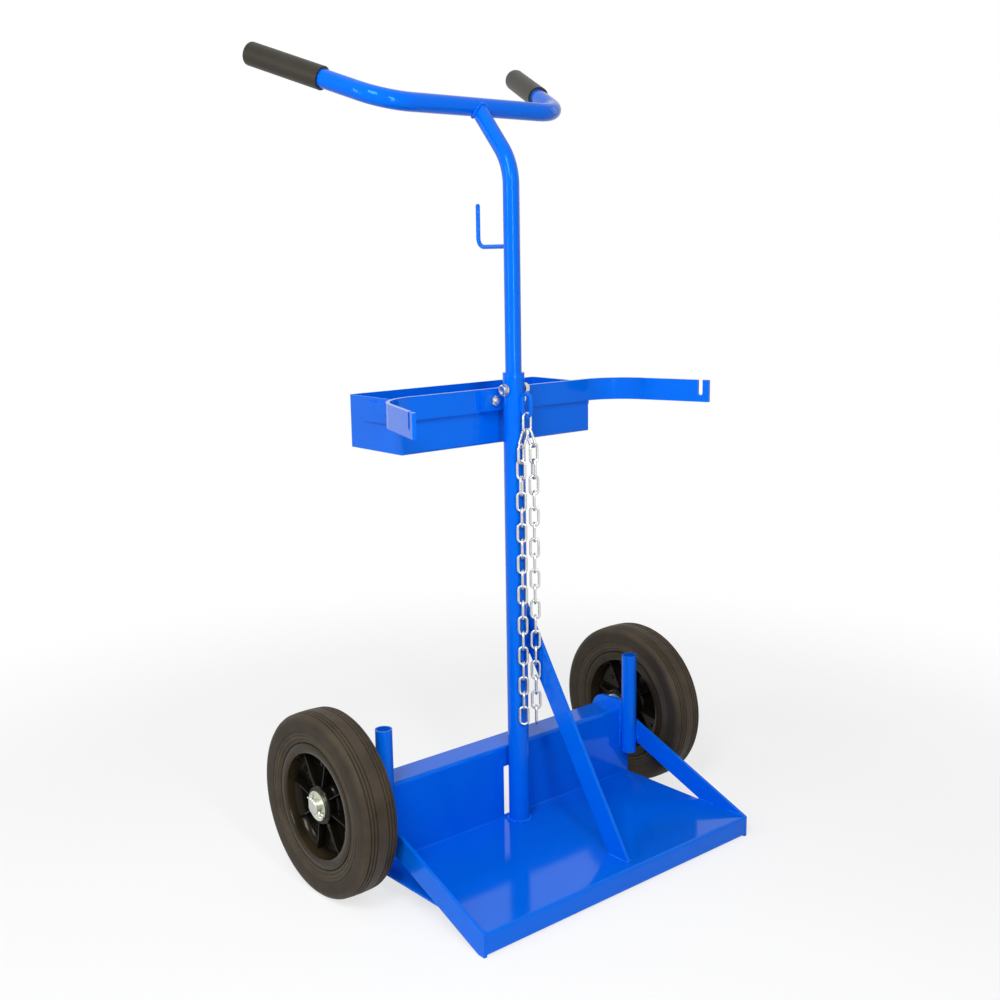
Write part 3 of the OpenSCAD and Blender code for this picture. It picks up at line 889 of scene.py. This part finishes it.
@dataclass
class Fasteners:
    """Bolts, nuts and washers of the mast clamp and of the retaining bar."""

    shop: Shop
    size: HexSize = HexSize()
    head_h: float = 5.3 * MM

    def _bolt(self, name: str, start: Vector, axis: Point, length: float) -> bpy.types.Mesh:
        """Joins the head and the shank of one bolt.

        Args:
            name: Start of the meshes' names.
            start: Point under the head.
            axis: Direction of the shank.
            length: Length of the shank.

        Returns:
            The bolt's mesh.
        """
        place = along(tuple(start), axis)
        back = along(tuple(start), tuple(-Vector(axis)))
        return join(name, [
            self.size.head(name + "_head", back, self.head_h),
            self.size.shank(name + "_shank", place, length * 0.35, length),
        ])

    def build(self) -> None:
        """Builds the clamp's and the bar's fasteners in place of the plain ones."""
        low, high = span("clamp_bolt")
        start = Vector((low.x + self.head_h, (low.y + high.y) / 2.0, (low.z + high.z) / 2.0))
        turned = self._bolt("clamp", start, (1, 0, 0), high.x - start.x)
        bolt = add_piece("clamp_bolt_cut", turned)
        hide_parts("clamp_bolt")

        n_low, n_high = span("clamp_nut")
        place = along((n_low.x, start.y, start.z), (1, 0, 0))
        turned = self.size.nut("clamp_nut", place, n_high.x - n_low.x)
        nut = add_piece("clamp_nut_cut", turned)
        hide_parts("clamp_nut")

        low, high = span("bar_bolts")
        half = (high.x - low.x) / 2.0 - self.size.across_flats / math.cos(math.pi / 6) / 2.0
        z = (low.z + high.z) / 2.0
        n_low, n_high = span("bar_nuts")
        bolts, nuts = [], []
        for side in Side:
            x = side.value * half
            head = Vector((x, high.y - self.head_h, z))
            bolts.append(self._bolt("bar_bolt", head, (0, -1, 0), head.y - low.y))
            place = along((x, n_high.y, z), (0, -1, 0))
            nuts.append(self.size.nut("bar_nut", place, n_high.y - n_low.y))
        made = [bolt, nut]
        pair = add_piece("bar_bolts_cut", join("bar_bolts_cut", bolts))
        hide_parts("bar_bolts")
        made.append(pair)
        pair = add_piece("bar_nuts_cut", join("bar_nuts_cut", nuts))
        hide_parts("bar_nuts")
        made.append(pair)
        for piece in made:
            dress(piece, self.shop.zinc, "frame")
        self.shop.paint("clamp_washers", self.shop.zinc)
        self.shop.paint("bar_washers", self.shop.zinc)


# ---- welded frame


@dataclass
class WeldedFrame:
    """Deck, bars, posts, mast, brace and everything welded to them."""

    shop: Shop
    edge: float = 0.45 * MM
    bead: float = 5.4 * MM
    lift: float = 0.6 * MM
    tube_tilt: float = 41.0
    bar_r: float = 12.5 * MM
    saddle_steps: int = 44
    sharp_nodes: tuple[str, ...] = (
        "load_deck", "side_bar_left", "side_bar_right", "axle_plate_left",
        "axle_plate_right", "centre_brace", "mounting_plate", "retaining_bar",
    )
    round_nodes: tuple[str, ...] = (
        "post_left", "post_right",
        "axle_spacer_left", "axle_spacer_right", "mast_lower_tube", "upper_tube",
        "handlebar", "hose_hook", "chain_eye",
    )

    def build(self) -> None:
        """Paints the frame and lays its welds."""
        for node in self.sharp_nodes:
            self.shop.ease_edges(node, self.shop.enamel, self.edge, "blue_paint")
        for node in self.round_nodes:
            self.shop.paint(node, self.shop.enamel)
        # The post caps get a dark blue that is painted shade, standing in for the shaded inside
        # of each open tube.
        for side in Side:
            self.shop.paint("post_cap_" + side.label, self.shop.plug_blue)
        self._mast_welds()
        self._deck_welds()
        self._top_welds()

    def _mast_welds(self) -> None:
        """Welds at the mast's foot, its brace, its plate and its chain eye."""
        low, high = span("mast_lower_tube")
        r = (high.x - low.x) / 2.0
        y = (low.y + high.y) / 2.0
        z = low.z
        foot_ring = circle((0, y, z + 0.9 * MM), r + 0.8 * MM, (0, 0, 1))
        self.shop.weld("mast_foot_weld", [foot_ring], self.bead)
        b_low, b_high = span("centre_brace")
        top = b_high.z
        self.shop.weld("brace_top_weld", [
            upright(b_low.x + 0.2 * MM, y - 5.5 * MM, top - 75 * MM, top - 8 * MM, 12),
            upright(b_low.x + 1.0 * MM, y + 1.2 * MM, top - 58 * MM, top - 1 * MM, 12),
        ], self.bead * 0.8)
        foot = (b_low.y + 1 * MM, b_low.y + 36 * MM)
        self.shop.weld("brace_foot_weld", [
            line((x, foot[0], z + self.lift), (x, foot[1], z + self.lift))
            for x in (b_low.x - self.lift, b_high.x + self.lift)
        ], self.bead * 0.8)
        p_low, p_high = span("mounting_plate")
        reach = 6.5 * MM
        back = y + math.sqrt(r * r - reach * reach) + 0.8 * MM
        self.shop.weld("plate_weld", [
            upright(s * (reach + 1 * MM), back, p_low.z + 2 * MM, p_high.z - 2 * MM)
            for s in (-1, 1)
        ], self.bead * 0.75)
        e_low, e_high = span("chain_eye")
        self.shop.weld("eye_weld", [
            upright(s * 1.7 * MM, e_high.y - self.lift, e_low.z + 9 * MM, e_high.z - 9 * MM)
            for s in (-1, 1)
        ], self.bead * 0.6)

    def _deck_welds(self) -> None:
        """Welds of the posts, the side bars and the axle plates."""
        d_low, d_high = span("load_deck")
        m_low, _ = span("mast_lower_tube")
        deck = m_low.z
        for side in Side:
            s = side.value
            p_low, p_high = span("post_" + side.label)
            py = (p_low.y + p_high.y) / 2.0
            px = (p_low.x + p_high.x) / 2.0
            b_low, b_high = span("side_bar_" + side.label)
            inner = b_low.x if s > 0 else b_high.x
            edge_y = b_high.y
            self.shop.weld("bar_to_post_weld_" + side.label, [
                upright(inner - s * 0.2 * MM, edge_y + self.lift,
                        b_high.z - 32 * MM, b_high.z - 2 * MM),
                upright(inner - s * 0.8 * MM, py - 7.5 * MM,
                        b_high.z - 34 * MM, b_high.z - 5 * MM),
            ], self.bead * 0.75)
            back = p_high.y + 1.2 * MM
            self.shop.weld("post_weld_" + side.label, [
                upright(px - s * 6.5 * MM, back, p_low.z + 4 * MM, d_high.z - 4 * MM, 10),
            ], self.bead * 0.75)
            self.shop.weld("bar_to_deck_weld_" + side.label, [
                line((inner - s * 0.8 * MM, y0, deck + self.lift),
                     (inner - s * 0.8 * MM, y0 + 26 * MM, deck + self.lift))
                for y0 in (d_low.y + 6 * MM, d_low.y + 60 * MM)
            ], self.bead * 0.7)
            a_low, a_high = span("axle_plate_" + side.label)
            s_low, s_high = span("axle_spacer_" + side.label)
            ring_x = (a_high.x if s > 0 else a_low.x) + s * 0.5 * MM
            cy = (s_low.y + s_high.y) / 2.0
            cz = (s_low.z + s_high.z) / 2.0
            spacer_r = (s_high.z - s_low.z) / 2.0
            self.shop.weld("spacer_weld_" + side.label, [
                circle((ring_x, cy, cz), spacer_r + self.lift, (1, 0, 0)),
            ], self.bead * 0.7)

    def _top_welds(self) -> None:
        """Welds of the handlebar's saddle and of the hose hook."""
        h_low, _ = span("handlebar")
        t_low, t_high = span("upper_tube")
        bend = math.radians(self.tube_tilt)
        up = Vector((0.0, math.sin(bend), math.cos(bend)))
        across = Vector((1.0, 0.0, 0.0))
        third = up.cross(across)
        bar_r = self.bar_r
        tube_r = (t_high.x - t_low.x) / 2.0
        centre = Vector((0.0, h_low.y + bar_r, h_low.z + bar_r))
        saddle = []
        for k in range(self.saddle_steps):
            a = 2.0 * math.pi * k / self.saddle_steps
            w = (tube_r + 0.7 * MM) * math.sin(a)
            rise = math.sqrt(max(0.0, (bar_r + 0.5 * MM) ** 2 - w * w))
            saddle.append(tuple(
                centre + across * (tube_r + 0.7 * MM) * math.cos(a) + third * w - up * rise
            ))
        self.shop.weld("handlebar_weld", [(saddle, True)], self.bead * 0.85)
        k_low, k_high = span("hose_hook")
        wire = (k_high.x - k_low.x) / 2.0
        m_low, m_high = span("mast_lower_tube")
        back = (m_low.y + m_high.y) / 2.0 + tube_r + 0.2 * MM
        self.shop.weld("hook_weld", [
            circle((0, back, k_low.z + wire), wire + 0.5 * MM, (0, 1, 0)),
        ], self.bead * 0.7)


@dataclass
class ToolTray:
    """Open tray with a strap on each end."""

    shop: Shop

    def build(self) -> None:
        """Eases the sheet's edges and tacks the straps on."""
        self.shop.ease_edges("tool_tray", self.shop.enamel, 0.30 * MM, "blue_paint")
        for side in Side:
            node = "tray_strap_" + side.label
            self.shop.ease_edges(node, self.shop.enamel, 0.40 * MM, "blue_paint")
            low, high = span(node)
            x = low.x if side is Side.RIGHT else high.x
            out = side.value * 0.5 * MM
            self.shop.weld("strap_weld_" + side.label, [
                line((x + out, high.y - 24 * MM, high.z + 0.5 * MM),
                     (x + out, high.y - 8 * MM, high.z + 0.5 * MM)),
                line((x + out, low.y + 8 * MM, high.z + 0.5 * MM),
                     (x + out, low.y + 24 * MM, high.z + 0.5 * MM)),
            ], 2.6 * MM)


@dataclass
class Grips:
    """Moulded hand grips."""

    shop: Shop

    def build(self) -> None:
        """Gives the grips their rubber."""
        for side in Side:
            self.shop.paint("grip_" + side.label, self.shop.grip_rubber)


@dataclass
class Chain:
    """Welded zinc chain that hangs from the eye."""

    shop: Shop

    def build(self) -> None:
        """Gives every link its zinc."""
        for node in ("chain_middle_link", "chain_left_upper", "chain_left_lower",
                     "chain_right_upper", "chain_right_lower"):
            self.shop.paint(node, self.shop.zinc)


# ---- wheels


@dataclass
class Wheel:
    """One wheel: solid tyre, ribbed rim, bush, washers and split pin."""

    shop: Shop
    side: Side
    rim_r: float = 86.0 * MM
    hub_r: float = 26.0 * MM
    opening: float = 71.0 * MM
    hub_face: float = 16.5 * MM
    hub_back: float = 36.5 * MM
    ribs: int = 8
    rib_t: float = 2.2 * MM
    bore: float = 13.05 * MM
    facets: int = 144
    rib_start: float = 12.0
    boss_start: float = 34.5

    def build(self) -> None:
        """Builds and dresses the wheel."""
        low, high = span("tyre_" + self.side.label)
        self.centre = (low + high) / 2.0
        self.half = (high.x - low.x) / 2.0
        self.outer = (high.z - low.z) / 2.0
        self.place = along(tuple(self.centre), (self.side.value, 0, 0))
        self.body = "wheel_" + self.side.label
        self._tyre()
        self._rim()
        for node, mat in (
            ("hub_bush_", self.shop.axle_steel),
            ("inner_washer_", self.shop.passivated),
            ("outer_washer_", self.shop.passivated),
            ("split_pin_", self.shop.zinc),
        ):
            self.shop.paint(node + self.side.label, mat)

    def _tyre(self) -> None:
        """Turns the tyre with its tread grooves and sidewall ridges."""
        r0, r, h = self.rim_r, self.outer, self.half
        inner = (
            (-0.6, 6.5), (-0.2, 4.0), (1.4, 2.2), (3.2, 1.5), (4.2, 2.3), (5.2, 1.2),
            (8.4, 0.8), (9.4, 1.6), (10.4, 0.6), (13.4, 0.3), (14.4, 1.1), (15.4, 0.2),
            (22.0, 0.0),
        )
        shoulder = ((11.0, 0.1), (7.0, 0.7), (4.0, 2.0), (2.2, 4.0), (1.4, 6.2))
        side = [(r0 + a * MM, h - b * MM) for a, b in inner]
        side += [(r - a * MM, h - b * MM) for a, b in shoulder]
        tread = []
        for z in (18.2, 13.4, 8.6):
            lift = r - 1.2 * MM * (z / 20.0) ** 2
            tread += [
                (lift, (z + 1.2) * MM), (lift - 1.7 * MM, (z + 0.7) * MM),
                (lift - 1.7 * MM, (z - 0.7) * MM), (lift, (z - 1.2) * MM),
            ]
        tread.append((r, 0.0))
        mirrored = [(a, -b) for a, b in reversed(side + tread[:-1])]
        seat = [(r0 - 7.4 * MM, -(h - 7.4 * MM)), (r0 - 7.4 * MM, h - 7.4 * MM)]
        rings = side + tread + mirrored + seat
        mesh = lathe("tyre_turned", rings, self.place, self.facets)
        smooth(mesh, 28.0)
        tyre = add_piece("tyre_turned_" + self.side.label, mesh)
        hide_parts("tyre_" + self.side.label)
        dress(tyre, self.shop.tyre_rubber, self.body)

    def _rim(self) -> None:
        """Turns the rim and stands its ribs and bosses round the hub."""
        h, o = self.half, self.opening
        seat = self.rim_r - 8.0 * MM
        bore = self.bore
        hub = self.hub_r
        face = [
            (bore, self.hub_face), (hub - 1.2 * MM, self.hub_face),
            (hub, self.hub_face - 1.2 * MM),
            (hub + 1.0 * MM, 4.5 * MM), (hub + 3.0 * MM, 2.4 * MM), (o - 12.0 * MM, 2.0 * MM),
            (o - 6.0 * MM, 3.2 * MM), (o - 2.6 * MM, 6.8 * MM), (o - 0.8 * MM, 12.0 * MM),
            (o - 0.2 * MM, h - 6.0 * MM), (o + 0.6 * MM, h - 4.0 * MM),
            (o + 2.2 * MM, h - 3.1 * MM),
        ]
        lip = ((3.2, 3.2), (1.6, 3.8), (1.2, 5.0), (1.4, 6.6))
        face += [(self.rim_r - a * MM, h - b * MM) for a, b in lip] + [(seat, h - 7.4 * MM)]
        back = [(r, -z) for r, z in reversed(face[3:])]
        tail = [(hub, -(self.hub_back - 1.2 * MM)), (hub - 1.2 * MM, -self.hub_back),
                (bore, -self.hub_back)]
        mesh = lathe("rim_turned", face + back + tail, self.place, self.facets)
        smooth(mesh, 32.0)
        pieces = [mesh]
        for sign in (1, -1):
            pieces.append(self._ring_of(self._rib(sign), math.radians(self.rib_start)))
            pieces.append(self._ring_of(self._boss(sign), math.radians(self.boss_start)))
        rim = add_piece("rim_moulded_" + self.side.label, join("rim_moulded", pieces))
        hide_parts("rim_" + self.side.label)
        dress(rim, self.shop.rim_plastic, self.body)

    def _ring_of(self, mesh: bpy.types.Mesh, start: float) -> bpy.types.Mesh:
        """Repeats a mesh drawn about the X axis round this wheel's axle.

        Args:
            mesh: One copy, with the axle through its origin.
            start: Angle of the first copy.

        Returns:
            All the copies as one mesh, in the cart's frame.
        """
        seed = add_piece("repeat", mesh)
        finish = self.shop.rim_plastic
        made = self.shop.rings.run(
            seed, Centre=tuple(self.centre), Count=self.ribs, Start=start, Finish=finish
        )
        result = made.data
        bpy.data.objects.remove(made)
        return result

    def _rib(self, sign: int) -> bpy.types.Mesh:
        """Builds one tapered rib with a rounded top, standing along +Z.

        Args:
            sign: 1 for the outboard face, -1 for the inboard one.

        Returns:
            The rib's mesh, with +X outboard.
        """
        out = self.side.value * sign
        t = self.rib_t / 2.0
        inner, outer = self.hub_r - 1.0 * MM, self.opening - 1.0 * MM
        tops = (self.hub_face - 2.2 * MM, 12.5 * MM)
        rows = []
        base = 1.0 * MM
        middle = ((inner + outer) / 2, sum(tops) / 2)
        for r, top in ((inner, tops[0]), middle, (outer, tops[1])):
            section = [
                (-t * 1.35, base), (t * 1.35, base), (t, top - 0.7 * MM), (t * 0.55, top),
                (-t * 0.55, top), (-t, top - 0.7 * MM),
            ]
            rows.append([(out * x, y, r) for y, x in section])
        bm = bmesh.new()
        grid = [[bm.verts.new(p) for p in row] for row in rows]
        for a, b in zip(grid, grid[1:]):
            for k in range(6):
                bm.faces.new((a[k], a[(k + 1) % 6], b[(k + 1) % 6], b[k]))
        bm.faces.new(grid[0])
        bm.faces.new(list(reversed(grid[-1])))
        bmesh.ops.recalc_face_normals(bm, faces=bm.faces)
        mesh = bpy.data.meshes.new("rib")
        bm.to_mesh(mesh)
        bm.free()
        return mesh

    def _boss(self, sign: int) -> bpy.types.Mesh:
        """Builds one small ejector boss on the web.

        Args:
            sign: 1 for the outboard face, -1 for the inboard one.

        Returns:
            The boss's mesh, with +X outboard.
        """
        rings = [
            (0.0, 1.0 * MM), (3.4 * MM, 1.0 * MM), (3.2 * MM, 3.6 * MM),
            (2.8 * MM, 4.0 * MM), (1.6 * MM, 4.0 * MM), (1.3 * MM, 3.5 * MM), (0.0, 3.5 * MM),
        ]
        place = along((0, 0, 52.0 * MM), (self.side.value * sign, 0, 0))
        return lathe("boss", rings, place, 24)


# ---- studio


@dataclass(frozen=True)
class Softbox:
    """One area lamp."""

    name: str
    place: Point
    target: Point
    width: float
    height: float
    watts: float
    colour: Point = (1.0, 1.0, 1.0)

    def build(self) -> None:
        """Hangs the lamp and aims it."""
        data = bpy.data.lights.new(self.name, "AREA")
        data.shape = "RECTANGLE"
        data.size = self.width
        data.size_y = self.height
        data.energy = self.watts
        data.color = self.colour
        lamp = bpy.data.objects.new(self.name, data)
        bpy.context.scene.collection.objects.link(lamp)
        lamp.location = self.place
        lamp.visible_camera = False
        aim = Vector(self.target) - Vector(self.place)
        lamp.rotation_euler = aim.to_track_quat("-Z", "Y").to_euler()


@dataclass
class Studio:
    """Camera, lamps, white surroundings and floor."""

    axle_y: float
    azimuth: float = -40.24
    elevation: float = 10.83
    roll: float = -0.89
    eye: Point = (-1.1350, -1.3608, 0.8328)
    lens: float = 45.82
    fill: float = 0.22
    floor_size: float = 14.0
    floor_tone: float = 0.93
    floor_glow: float = 0.72
    fade_from: float = 0.55
    fade_to: float = 1.50

    def build(self) -> None:
        """Builds the whole studio."""
        self._camera()
        self._world()
        self._floor()
        centre = (0.0, 0.0, 0.45)
        for box in (
            Softbox("key_near", (-1.3, -0.9, 1.75), (0.0, 0.0, 0.8), 0.5, 0.9, 23.5),
            Softbox("strip_front", (-0.50, -1.16, 0.95), (0.0, 0.0, 0.85), 0.17, 0.8, 7.4),
            Softbox("strip_left", (-1.35, 0.10, 0.95), (0.0, 0.0, 0.85), 0.17, 0.8, 5.2),
            Softbox("overhead", (0.1, 0.2, 3.0), centre, 2.0, 2.0, 4.0),
            Softbox("right_side", (2.6, -0.3, 1.6), centre, 0.8, 1.6, 4.0),
            Softbox("back_left", (-1.6, 2.4, 1.8), centre, 1.4, 1.4, 9.0),
        ):
            box.build()

    def _camera(self) -> None:
        """Sets the camera at the viewing angle."""
        az, el, roll = (math.radians(v) for v in (self.azimuth, self.elevation, self.roll))
        back = Vector((math.sin(az) * math.cos(el), -math.cos(az) * math.cos(el), math.sin(el)))
        right = Vector((math.cos(az), math.sin(az), 0.0))
        up = back.cross(right)
        x = right * math.cos(roll) + up * math.sin(roll)
        y = up * math.cos(roll) - right * math.sin(roll)
        data = bpy.data.cameras.new("camera")
        data.sensor_width = 36.0
        data.lens = self.lens
        data.clip_end = 50.0
        camera = bpy.data.objects.new("camera", data)
        bpy.context.scene.collection.objects.link(camera)
        place = Matrix((x, y, back)).transposed().to_4x4()
        place.translation = Vector(self.eye) + Vector((0.0, self.axle_y, 0.0))
        camera.matrix_world = place
        bpy.context.scene.camera = camera

    @staticmethod
    def _seen(tree: bpy.types.NodeTree) -> bpy.types.NodeSocket:
        """Tells the rays by which the camera, metal or glass see the surroundings.

        Args:
            tree: Node tree that gets the nodes.

        Returns:
            A socket that is 1 for those rays and 0 for the others.
        """
        link = tree.links.new
        path = put(tree, "ShaderNodeLightPath")
        first = put(tree, "ShaderNodeMath", operation="MAXIMUM")
        second = put(tree, "ShaderNodeMath", operation="MAXIMUM")
        link(path.outputs["Is Camera Ray"], first.inputs[0])
        link(path.outputs["Is Glossy Ray"], first.inputs[1])
        link(first.outputs["Value"], second.inputs[0])
        link(path.outputs["Is Transmission Ray"], second.inputs[1])
        return second.outputs["Value"]

    def _world(self) -> None:
        """Makes white surroundings for the camera and for reflections, and a soft fill."""
        world = bpy.data.worlds.new("studio")
        bpy.context.scene.world = world
        world.use_nodes = True
        tree = world.node_tree
        tree.nodes.clear()
        link = tree.links.new
        out = put(tree, "ShaderNodeOutputWorld")
        mix = put(tree, "ShaderNodeMixShader")
        tint, pure = (0.93, 0.95, 1.0, 1.0), (1.0, 1.0, 1.0, 1.0)
        fill = put(tree, "ShaderNodeBackground", {"Color": tint, "Strength": self.fill})
        white = put(tree, "ShaderNodeBackground", {"Color": pure, "Strength": 1.0})
        link(self._seen(tree), mix.inputs["Fac"])
        link(fill.outputs["Background"], mix.inputs[1])
        link(white.outputs["Background"], mix.inputs[2])
        link(mix.outputs["Shader"], out.inputs["Surface"])

    def _floor(self) -> None:
        """Lays the pale floor, which keeps a soft shadow and fades into the white."""
        bm = bmesh.new()
        bmesh.ops.create_grid(bm, x_segments=1, y_segments=1, size=self.floor_size)
        mesh = bpy.data.meshes.new("floor")
        bm.to_mesh(mesh)
        bm.free()
        floor = add_piece("floor", mesh)
        mat = bpy.data.materials.new("pale_floor")
        mat.use_nodes = True
        tree = mat.node_tree
        bsdf = tree.nodes["Principled BSDF"]
        link = tree.links.new
        bsdf.inputs["Base Color"].default_value = (*(self.floor_tone,) * 3, 1.0)
        bsdf.inputs["Roughness"].default_value = 0.9
        bsdf.inputs["Specular IOR Level"].default_value = 0.0
        where = put(tree, "ShaderNodeTexCoord")
        reach = put(tree, "ShaderNodeVectorMath", operation="LENGTH")
        limits = {"From Min": self.fade_from, "From Max": self.fade_to}
        fade = put(tree, "ShaderNodeMapRange", limits, interpolation_type="SMOOTHSTEP")
        clear = put(tree, "ShaderNodeBsdfTransparent")
        white = put(tree, "ShaderNodeEmission", {"Strength": 1.0})
        share = put(tree, "ShaderNodeMath", {1: self.floor_glow}, operation="MULTIPLY")
        pale = put(tree, "ShaderNodeMixShader")
        mix = put(tree, "ShaderNodeMixShader")
        link(self._seen(tree), share.inputs[0])
        link(share.outputs["Value"], pale.inputs["Fac"])
        link(bsdf.outputs["BSDF"], pale.inputs[1])
        link(white.outputs["Emission"], pale.inputs[2])
        link(where.outputs["Object"], reach.inputs[0])
        link(reach.outputs["Value"], fade.inputs["Value"])
        link(fade.outputs["Result"], mix.inputs["Fac"])
        link(pale.outputs["Shader"], mix.inputs[1])
        link(clear.outputs["BSDF"], mix.inputs[2])
        link(mix.outputs["Shader"], tree.nodes["Material Output"].inputs["Surface"])
        mesh.materials.append(mat)


# ---- whole cart


def main() -> None:
    """Builds every sub-assembly in order, then the studio."""
    logging.basicConfig(level=logging.INFO, format="%(name)s: %(message)s")
    bpy.context.scene.view_settings.view_transform = "Standard"
    shop = Shop()
    WeldedFrame(shop).build()
    ToolTray(shop).build()
    Fasteners(shop).build()
    Grips(shop).build()
    Chain(shop).build()
    for side in Side:
        Wheel(shop, side).build()
    shop.paint("axle", shop.axle_steel)
    low, high = span("axle")
    Studio((low.y + high.y) / 2.0).build()
    LOG.info("done")


if __name__ == "__main__":
    main()
